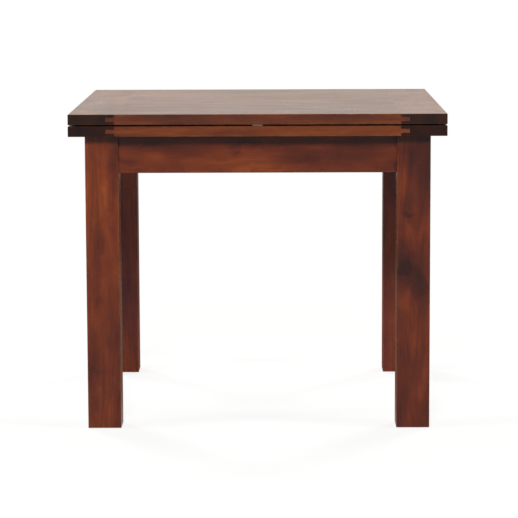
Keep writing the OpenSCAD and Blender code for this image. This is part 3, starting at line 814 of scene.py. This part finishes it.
# %% [markdown]
# ## Rubber and nylon
# The buffers are rubber and the foot glides nylon. Both are moulded and nearly even in colour. One
# plain colour would look drawn, so faint clouds, a fine skin and short scuffs break it up.


# %% Rubber and nylon
MOULD_CLOUD, MOULD_CLOUD_SHADE = (90.0, 3.0, 0.6), 0.7
SKIN = (1500.0, 2.0, 0.6)
SCUFF, SCUFF_LEVELS = (420.0, 2.0, 0.6), (0.55, 0.75)
SCUFF_STRETCH = (1.0, 0.25, 1.0)
SCUFF_SHARE, SCUFF_DEPTH = 0.45, 0.6
MOULD_DULL = 0.15  # roughness added by clouds, and by scuffs
MOULD_RELIEF = (0.00015, 0.5)


def moulded(name, base, scuffed, low_rough):
    g = Finish(name)
    cloud = g.noise(g.here, *MOULD_CLOUD)
    skin = g.noise(g.here, *SKIN)
    scuff = g.noise(g.vector("MULTIPLY", g.here, SCUFF_STRETCH), *SCUFF)
    scuff = g.between(scuff, *SCUFF_LEVELS)
    colour = g.blend(g.mul(cloud, 0.5), base, tuple(MOULD_CLOUD_SHADE * c for c in base))
    colour = g.blend(g.mul(scuff, SCUFF_SHARE), colour, scuffed)
    roughness = g.add(g.add(g.mul(cloud, MOULD_DULL), low_rough), g.mul(scuff, MOULD_DULL))
    normal = g.bump(g.sub(skin, g.mul(scuff, SCUFF_DEPTH)), *MOULD_RELIEF)
    return g.surface(colour, roughness, normal)


rubber = moulded("buffer_rubber", (0.020, 0.019, 0.018), (0.075, 0.070, 0.064), 0.52)
nylon = moulded("glide_nylon", (0.16, 0.10, 0.065), (0.30, 0.25, 0.20), 0.36)
print("moulded:", rubber.name, nylon.name)

# %% [markdown]
# ## Making a piece
# Every new piece is one mesh, built in place. Edges that turn by more than 40 degrees stay sharp
# and the others are shaded smooth. The piece then rides with the part of the table that carries
# it, hides the plain solid that it stands for, and takes its finish.

# %% A finished piece
SHARP = math.radians(40)


def in_scene(name, data):
    made = bpy.data.objects.new(name, data)
    bpy.context.scene.collection.objects.link(made)
    return made


def solid(name, shape, finish):
    """Puts a bmesh into the scene as an object with one finish."""
    mesh = bpy.data.meshes.new(name)
    shape.to_mesh(mesh)
    shape.free()
    mesh.materials.append(finish)
    return in_scene(name, mesh)


def make_piece(name, shape, finish, body, node):
    """Turns a bmesh into a piece that stands for a node of the model."""
    bmesh.ops.recalc_face_normals(shape, faces=shape.faces[:])
    for face in shape.faces:
        face.smooth = True
    for edge in shape.edges:
        edge.smooth = len(edge.link_faces) != 2 or edge.calc_face_angle(0.0) < SHARP
    piece = solid(name, shape, finish)
    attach(piece, body)
    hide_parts(node)
    print(name, "faces:", len(piece.data.polygons))
    return piece


# %% [markdown]
# ### Felt strips
# The top slides on felt that is glued along the upper edges of the aprons. A strip is a sheet
# 14 mm wide and 1 mm thick. It lies flat, so no cloth has to be let fall: a thin block, cut into
# short lengths with rounded upper edges, is pressed down a little in slow waves by the top.

# %% Felt strips
FELT_LENGTHS = 61  # how many short lengths a strip is cut into
FELT_ROUNDING = 0.0004
FELT_PRESSED = 0.00009  # a strip is pressed down by up to twice this
SHORT_WAVE, LONG_WAVE, LONG_START = 61.0, 23.0, 1.3  # radians a metre, and where one starts


def block(shape, size, middle):
    """Adds a box to a bmesh."""
    verts = bmesh.ops.create_cube(shape, size=1.0)["verts"]
    bmesh.ops.scale(shape, vec=size, verts=verts)
    bmesh.ops.translate(shape, vec=middle, verts=verts)


def felt_strip(name, node):
    low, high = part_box(node)
    size, middle = high - low, (low + high) / 2
    run = 0 if size[0] > size[1] else 1
    shape = bmesh.new()
    block(shape, size, middle)
    long_edges = [e for e in shape.edges if e.calc_length() > size[run] / 2]
    bmesh.ops.subdivide_edges(shape, edges=long_edges, cuts=FELT_LENGTHS - 1, use_grid_fill=True)
    upper = [e for e in shape.edges if min(vert.co[2] for vert in e.verts) > middle[2]]
    rim = [e for e in upper if e.calc_face_angle(0.0) > SHARP]
    bmesh.ops.bevel(shape, geom=rim, offset=FELT_ROUNDING, segments=2, profile=0.5, affect="EDGES",
                    material=-1)
    for vert in shape.verts:
        if vert.co[2] > middle[2]:
            place = vert.co[run]
            wave = math.sin(place * SHORT_WAVE) * math.sin(place * LONG_WAVE + LONG_START)
            vert.co[2] -= FELT_PRESSED * (1.0 + wave)
    piece = make_piece(name, shape, strip_felt, "base", node)


for side in ("front", "back", "left", "right"):
    felt_strip("felt_strip_" + side, "felt_" + side)

# %% [markdown]
# ### Leaf pads
# Two small pads keep the closed leaves apart in the middle of their front and back edges, where the
# hinges don't hold them. Each is a die-cut block of thick felt. A plain box would look hard, so its
# corners are bevelled and its ends draw in a little halfway up.

# %% Leaf pads
low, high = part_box("leaf_pads")
PAD_DEPTH = 0.012
PAD_SIZE = Vector((high[0] - low[0], PAD_DEPTH, high[2] - low[2]))
PAD_ROUNDING = 0.0007
WIDE_EDGE, PAD_CUTS = 0.008, 6  # edges longer than this are cut, so that the ends can draw in
PAD_WAIST = 0.02  # how much narrower a pad is halfway up
pad_middle = (low[2] + high[2]) / 2

pads = bmesh.new()
for y in (low[1] + PAD_DEPTH / 2, high[1] - PAD_DEPTH / 2):
    block(pads, PAD_SIZE, (0.0, y, pad_middle))
bmesh.ops.bevel(pads, geom=pads.edges[:], offset=PAD_ROUNDING, segments=3, profile=0.5,
                affect="EDGES", material=-1)
wide = [e for e in pads.edges if e.calc_length() > WIDE_EDGE]
bmesh.ops.subdivide_edges(pads, edges=wide, cuts=PAD_CUTS, use_grid_fill=True)
for vert in pads.verts:
    waist = 1.0 - abs(vert.co[2] - pad_middle) / (PAD_SIZE[2] / 2)
    vert.co[0] *= 1.0 - PAD_WAIST * waist
leaf_pads = make_piece("leaf_felt_pads", pads, pad_felt, "lower_leaf", "leaf_pads")

# %% [markdown]
# ### Turned pieces
# Buffers, glides, bolts and washers are round. They could be built up from cylinders, but half an
# outline, spun about its axis, holds every rounding and groove in one list of points.


# %% Turning and placing
ROUND, BOLT_ROUND = 40, 20  # sides of a turned piece


def turned(outline, segments=ROUND):
    """A shape turned on the Z axis from (height, radius) points."""
    shape = bmesh.new()
    line = [shape.verts.new((radius, 0.0, height)) for height, radius in outline]
    edges = [shape.edges.new(pair) for pair in zip(line, line[1:])]
    bmesh.ops.spin(shape, geom=line + edges, axis=(0, 0, 1), cent=(0, 0, 0), angle=2 * math.pi,
                   steps=segments, use_merge=True)
    bmesh.ops.remove_doubles(shape, verts=shape.verts[:], dist=1e-6)
    return shape


def placed(shape, places):
    """One shape repeated at several (point, direction of its Z axis) places."""
    pattern = bpy.data.meshes.new("pattern")
    shape.to_mesh(pattern)
    shape.free()
    whole = bmesh.new()
    for point, direction in places:
        turn = Vector(direction).to_track_quat("Z", "Y").to_matrix().to_4x4()
        copy = pattern.copy()
        copy.transform(Matrix.Translation(point) @ turn)
        whole.from_mesh(copy)
        bpy.data.meshes.remove(copy)
    bpy.data.meshes.remove(pattern)
    return whole


print("sides of a turned piece:", ROUND)

# %% [markdown]
# ### Stop buffers
# At each end of its way a runner meets a rubber buffer. It is turned in one go: a thin foot, a
# rounded body, and a well in the middle that hides the head of the screw that holds it.

# %% Stop buffers
BUFFER_R = 0.011
BUFFER = [
    (0.0000, 0.0), (0.0000, 0.0108), (0.0003, BUFFER_R), (0.0014, BUFFER_R), (0.0018, 0.0106),
    (0.0022, 0.0099), (0.0040, 0.0095), (0.0058, 0.0088), (0.0070, 0.0077), (0.0077, 0.0063),
    (0.0080, 0.0050), (0.0079, 0.0041), (0.0074, 0.0037), (0.0040, 0.0036), (0.0036, 0.0034),
    (0.0042, 0.0030), (0.0052, 0.0020), (0.0055, 0.0008), (0.0055, 0.0),
]
low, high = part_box("stop_buffers")
places = [((side * high[0], y, (low[2] + high[2]) / 2), (-side, 0, 0))
          for side in (-1, 1) for y in (high[1] - BUFFER_R, low[1] + BUFFER_R)]
make_piece("rubber_stop_buffers", placed(turned(BUFFER), places), rubber, "base",
           "stop_buffers")

# %% [markdown]
# ### Foot glides
# A nylon disc is nailed under each leg. Its rim is rounded so that it slides over joints in the
# floor, and the nail sits in a shallow dish so that it never scratches.

# %% Foot glides
GLIDE_R = 0.015
GLIDE = [
    (0.0002, 0.0), (0.0002, 0.0040), (0.0000, 0.0048), (0.0000, 0.0125), (0.0002, 0.0138),
    (0.0006, 0.0146), (0.0011, GLIDE_R), (0.0016, GLIDE_R), (0.0020, 0.0147), (0.0020, 0.0016),
    (0.0150, 0.0016), (0.0180, 0.0002), (0.0180, 0.0),
]
low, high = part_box("foot_glides")
places = [((x, y, 0.0), (0, 0, 1)) for x in (low[0] + GLIDE_R, high[0] - GLIDE_R)
          for y in (low[1] + GLIDE_R, high[1] - GLIDE_R)]
make_piece("nylon_foot_glides", placed(turned(GLIDE), places), nylon, "base", "foot_glides")

# %% [markdown]
# ### Hanger bolts and washers
# Behind each brace two bolts pull the leg in. A real thread is a spiral, but it rises by only
# 1.25 mm a turn, so rings stand in for it and the bolt is turned like the other pieces. The end
# in the leg is hidden and stays plain.

# %% Hanger bolts
BOLT_Z = (0.651, 0.681)
FLAT = (0.33798, 0.33898)  # where the bolts leave the legs, as half distances
IN_LEG, OUT_END = 0.040, 0.0380  # lengths of a bolt inside its leg and outside it
BOLT_R, BOLT_CORE_R = 0.004, 0.0033
BOLT_TIP = (0.003, 0.0025)  # length and radius of its point in the leg
BOLT_BEVEL = 0.0008
THREAD_RISE, THREAD_DEPTH = 0.00125, 0.0006
THREAD_STARTS, THREAD_ENDS = 0.001, 0.001  # from the leg and from the bolt's end


def bolt_places(distance):
    """Points at a distance along every bolt, counted from its leg, with the bolt's direction."""
    found = []
    for side_x, side_y in ((-1, -1), (-1, 1), (1, -1), (1, 1)):
        inward = Vector((-side_x, -side_y, 0.0)).normalized()
        for z in BOLT_Z:
            foot = Vector((side_x * FLAT[0], side_y * FLAT[1], z))
            found.append((foot + inward * distance, inward))
    return found


bolt = [(-IN_LEG, 0.0), (-IN_LEG + BOLT_TIP[0], BOLT_TIP[1]), (0.0, BOLT_CORE_R), (0.0005, BOLT_R)]
for number in range(int((OUT_END - THREAD_STARTS - THREAD_ENDS) / THREAD_RISE)):
    height = THREAD_STARTS + number * THREAD_RISE
    bolt += [(height, BOLT_R), (height + THREAD_DEPTH, BOLT_R - THREAD_DEPTH)]
bolt += [(OUT_END - BOLT_BEVEL, BOLT_R), (OUT_END, BOLT_R - BOLT_BEVEL), (OUT_END, 0.0)]
make_piece("threaded_hanger_bolts", placed(turned(bolt, BOLT_ROUND), bolt_places(0.0)), steel,
           "base", "hanger_bolts")

# %% Washers
WASHER_PLACE = 0.0250  # from the leg
WASHER_THICK = 0.0016
WASHER = [
    (0.0000, 0.0046), (0.0000, 0.0087), (0.0002, 0.0090), (0.0013, 0.0090), (WASHER_THICK, 0.0087),
    (WASHER_THICK, 0.0046), (0.0000, 0.0046),
]
make_piece("steel_washers", placed(turned(WASHER), bolt_places(WASHER_PLACE)), steel, "base",
           "bolt_washers")

# %% [markdown]
# ### Nuts
# A nut has six flats, and its corners are turned off at both ends. It could be cut out of a bar
# with a cone, but a cut leaves untidy faces. Here circles of points are bridged, and two of them
# are pushed out onto the hexagon: the further out a point lies, the lower the chamfer takes it.

# %% Nuts
NUT_HALF, NUT_HEIGHT = 0.0065, 0.0065
NUT_FACE = 0.97 * NUT_HALF  # radius of the round face inside the chamfer
NUT_BORE, BORE_RIM, BORE_LEAD = 0.00405, 0.0044, 0.0004  # radii, and depth of the rim's cone
CHAMFER = math.tan(math.radians(30))
nut = bmesh.new()


def nut_loop(height, radius, hexagon=0.0):
    """Loop of 24 points. Hexagon 1 pushes them out to the flats and down the chamfer, -1 up it."""
    ring = bmesh.ops.create_circle(nut, cap_ends=False, radius=radius, segments=24)["verts"]
    for vert in ring:
        vert.co[2] = height
        if hexagon:
            angle = math.atan2(vert.co[1], vert.co[0]) % (math.pi / 3) - math.pi / 6
            out = NUT_HALF / math.cos(angle)
            vert.co.xy = vert.co.xy.normalized() * out
            vert.co[2] = height - hexagon * (out - NUT_FACE) * CHAMFER
    return list({edge for vert in ring for edge in vert.link_edges})


loops = [
    nut_loop(0.0, NUT_BORE),
    nut_loop(0.0, NUT_FACE),
    nut_loop(0.0, NUT_HALF, -1.0),
    nut_loop(NUT_HEIGHT, NUT_HALF, 1.0),
    nut_loop(NUT_HEIGHT, NUT_FACE),
    nut_loop(NUT_HEIGHT, BORE_RIM),
    nut_loop(NUT_HEIGHT - BORE_LEAD, NUT_BORE),
]
for lower, upper in zip(loops, loops[1:] + loops[:1]):
    bmesh.ops.bridge_loops(nut, edges=lower + upper)
make_piece("chamfered_nuts", placed(nut, bolt_places(WASHER_PLACE + WASHER_THICK)), steel, "base",
           "bolt_nuts")

# %% [markdown]
# ## Rays
# The studio looks one way to the camera and another way to the lacquer. A photographer would need
# cards and screens for that, but here every ray tells where it comes from.


# %% Rays
def kinds_of_ray(g):
    """Shares of rays: seen by the camera, mirrored by something glossy, and scattered."""
    rays = g.node("ShaderNodeLightPath").outputs
    seen = g.math("MAXIMUM", rays["Is Camera Ray"], rays["Is Transmission Ray"])
    return seen, rays["Is Glossy Ray"], rays["Is Diffuse Ray"]


print("kinds of ray: seen, mirrored, scattered")

# %% [markdown]
# ## Floor
# The table stands on a pale floor in front of a white backdrop. The camera sees the floor as plain
# white with a share of real shading, so that the feet cast a soft shadow on it. The lacquer mirrors
# the floor too, and a white one would wash out the wood, so in the mirror it glows only far behind
# the table, and weakly near it.

# %% Floor
FLOOR_REACH = 40.0
WHITE = (1.0, 1.0, 1.0)
FLOOR_LIGHT, FLOOR_DARK = (0.88, 0.88, 0.88), (0.84, 0.84, 0.84)
FLOOR_BOUNCE = (0.30, 0.30, 0.30)  # for the light that it throws back at the table
FLOOR_WARM = (1.0, 0.80, 0.64)  # the mirrored floor behind the table's front edge
TURNS_WARM = (-0.6, 0.3)  # depths between which it turns warm
WHITE_SHARE = (0.80, 1.0)  # plain white in what the camera sees, near the table and far away
WHITE_REACH = (0.7, 2.2)

# The mirrored floor's glow: depths between which it changes, then its strengths there
GLOWS = [
    (-0.6, 0.3, 0.29, 0.0),
    (1.6, 3.4, 0.16, 0.04),
    (5.2, 8.2, 0.0, 0.96),
]


def floor_finish():
    g = Finish("studio_floor")
    seen, mirrored, scattered = kinds_of_ray(g)
    shade = g.blend(g.mul(g.noise(g.here, 0.8, 2.0, 0.5), 0.3), FLOOR_LIGHT, FLOOR_DARK)
    plain = g.node("ShaderNodeBsdfDiffuse")
    g.feed(plain.inputs["Color"], g.blend(scattered, shade, FLOOR_BOUNCE))

    depth = g.split(g.here)[1]
    warm = g.mul(mirrored, g.between(depth, *TURNS_WARM))
    strength = 0.0
    for change in GLOWS:
        strength = g.add(g.between(depth, *change), strength)
    glow = g.node("ShaderNodeEmission")
    g.feed(glow.inputs["Color"], g.blend(warm, WHITE, FLOOR_WARM))
    g.feed(glow.inputs["Strength"], g.math("MAXIMUM", seen, strength))

    away = g.vector("LENGTH", g.vector("MULTIPLY", g.here, (1.0, 1.0, 0.0)))
    white = g.mul(seen, g.between(away, *WHITE_REACH, *WHITE_SHARE))
    mix = g.node("ShaderNodeMixShader")
    g.feed(mix.inputs[0], g.math("MAXIMUM", white, mirrored))
    g.feed(mix.inputs[1], plain.outputs[0])
    g.feed(mix.inputs[2], glow.outputs[0])
    return g.end(mix)


shape = bmesh.new()
bmesh.ops.create_grid(shape, x_segments=1, y_segments=1, size=FLOOR_REACH)
floor = solid("floor", shape, floor_finish())
print("floor:", 2 * FLOOR_REACH, "m wide")

# %% [markdown]
# ## Backdrop
# The camera sees plain white all round, but the room's own light is dim, so that the soft boxes
# shape the table. The lacquer mirrors a white band, weaker at the front, that starts just above the
# floor and fades into a dark ceiling. Without the band the top would be dark in the photograph's
# view, and without the ceiling it would be milky from above.

# %% Backdrop
MIRRORED_WHITE = (1.0, 1.0, 0.940)
DIM_ROOM = (0.140, 0.137, 0.134)
BAND_FOOT = (0.0, 0.097)  # upward part of the direction over which the band begins
BAND_TOP = (0.35, 0.85)  # and over which it fades into the ceiling
TO_FRONT = (-0.95, -0.45)  # backward part over which it gains strength
FRONT_STRENGTH = 0.30

g = Finish("studio_backdrop", bpy.data.worlds)
seen, mirrored = kinds_of_ray(g)[:2]
direction = g.split(g.place["Generated"])
band = g.mul(g.between(direction[2], *BAND_FOOT), g.between(direction[2], *BAND_TOP, 1.0, 0.0))
band = g.mul(band, g.between(direction[1], *TO_FRONT, FRONT_STRENGTH, 1.0))
white = g.blend(mirrored, WHITE, MIRRORED_WHITE)
shown = g.math("MAXIMUM", seen, g.mul(mirrored, band))
light = g.node("ShaderNodeBackground")
g.feed(light.inputs["Color"], g.blend(shown, DIM_ROOM, white))
bpy.context.scene.world = g.end(light, "ShaderNodeOutputWorld")
print("nodes of the backdrop:", len(g.tree.nodes))

# %% [markdown]
# ## Soft boxes
# A large soft box hangs above and behind the camera. The shadow that the top throws on the legs
# ends 15 mm below its edge, at an overhang of 36 mm, which sets the height of that box, and the
# dark upper half of the back legs shows that it stands in the middle. Weaker boxes on both sides
# and behind the table light its other sides. None of them is mirrored, because they would be
# glints along the edges and bright squares on the top.

# %% Soft boxes
AIM = Vector((0.0, 0.0, 0.6))
LAMP_CENTRE = 0.7  # height of the point that the lamps stand round
LAMP_COLOUR = (1.0, 0.975, 0.95)


def soft_box(name, side, height, away, size, strength):
    """A square lamp aimed at the table; side and height are degrees, strength 1 is plain white."""
    around, up = math.radians(side), math.radians(height)
    flat, above = away * math.cos(up), away * math.sin(up)
    place = Vector((flat * math.sin(around), -flat * math.cos(around), LAMP_CENTRE + above))
    lamp = bpy.data.lights.new(name, "AREA")
    lamp.shape = "SQUARE"
    lamp.size = size
    lamp.energy = strength * (math.pi * away) ** 2
    lamp.color = LAMP_COLOUR
    holder = in_scene(name, lamp)
    holder.location = place
    holder.rotation_euler = (AIM - place).to_track_quat("-Z", "Y").to_euler()
    holder.visible_glossy = False
    print(name, "stands at", [round(part, 2) for part in place])


soft_box("soft_box_left", -72.0, 22.0, 7.0, 1.4, 0.42)
soft_box("soft_box_right", 72.0, 22.0, 7.0, 1.4, 0.40)
soft_box("soft_box_front", -3.0, 26.0, 7.6, 1.4, 0.82)
soft_box("soft_box_back_left", -140.0, 35.0, 6.0, 1.6, 0.50)
soft_box("soft_box_back_right", 140.0, 35.0, 6.0, 1.6, 0.50)

# %% [markdown]
# ## Camera
# The camera was placed by fitting a pinhole model to the corners and edges of the table in the
# photograph. It stands 6.2 m away at eye height and looks down by almost eight degrees.

# %% Camera
CAMERA_PLACE = (0.0478, -6.1912, 1.1990)
CAMERA_YAW = 0.0079  # radians, turned to the left
CAMERA_PITCH = 0.1350  # radians, tilted down
CAMERA_ROLL = -0.0037  # radians, the right side lower
LENS, SENSOR = 168.80, 36.0  # mm

camera_data = bpy.data.cameras.new("camera")
camera_data.lens = LENS
camera_data.sensor_width = SENSOR
camera = in_scene("camera", camera_data)
turn = Matrix.Rotation(CAMERA_YAW, 4, "Z")
tilt = Matrix.Rotation(math.pi / 2 - CAMERA_PITCH, 4, "X")
roll = Matrix.Rotation(CAMERA_ROLL, 4, "Z")
camera.matrix_world = Matrix.Translation(CAMERA_PLACE) @ turn @ tilt @ roll
bpy.context.scene.camera = camera
bpy.context.scene.view_settings.view_transform = "Standard"
print("width of the view:", round(math.degrees(camera_data.angle), 2), "degrees")

# %% [markdown]
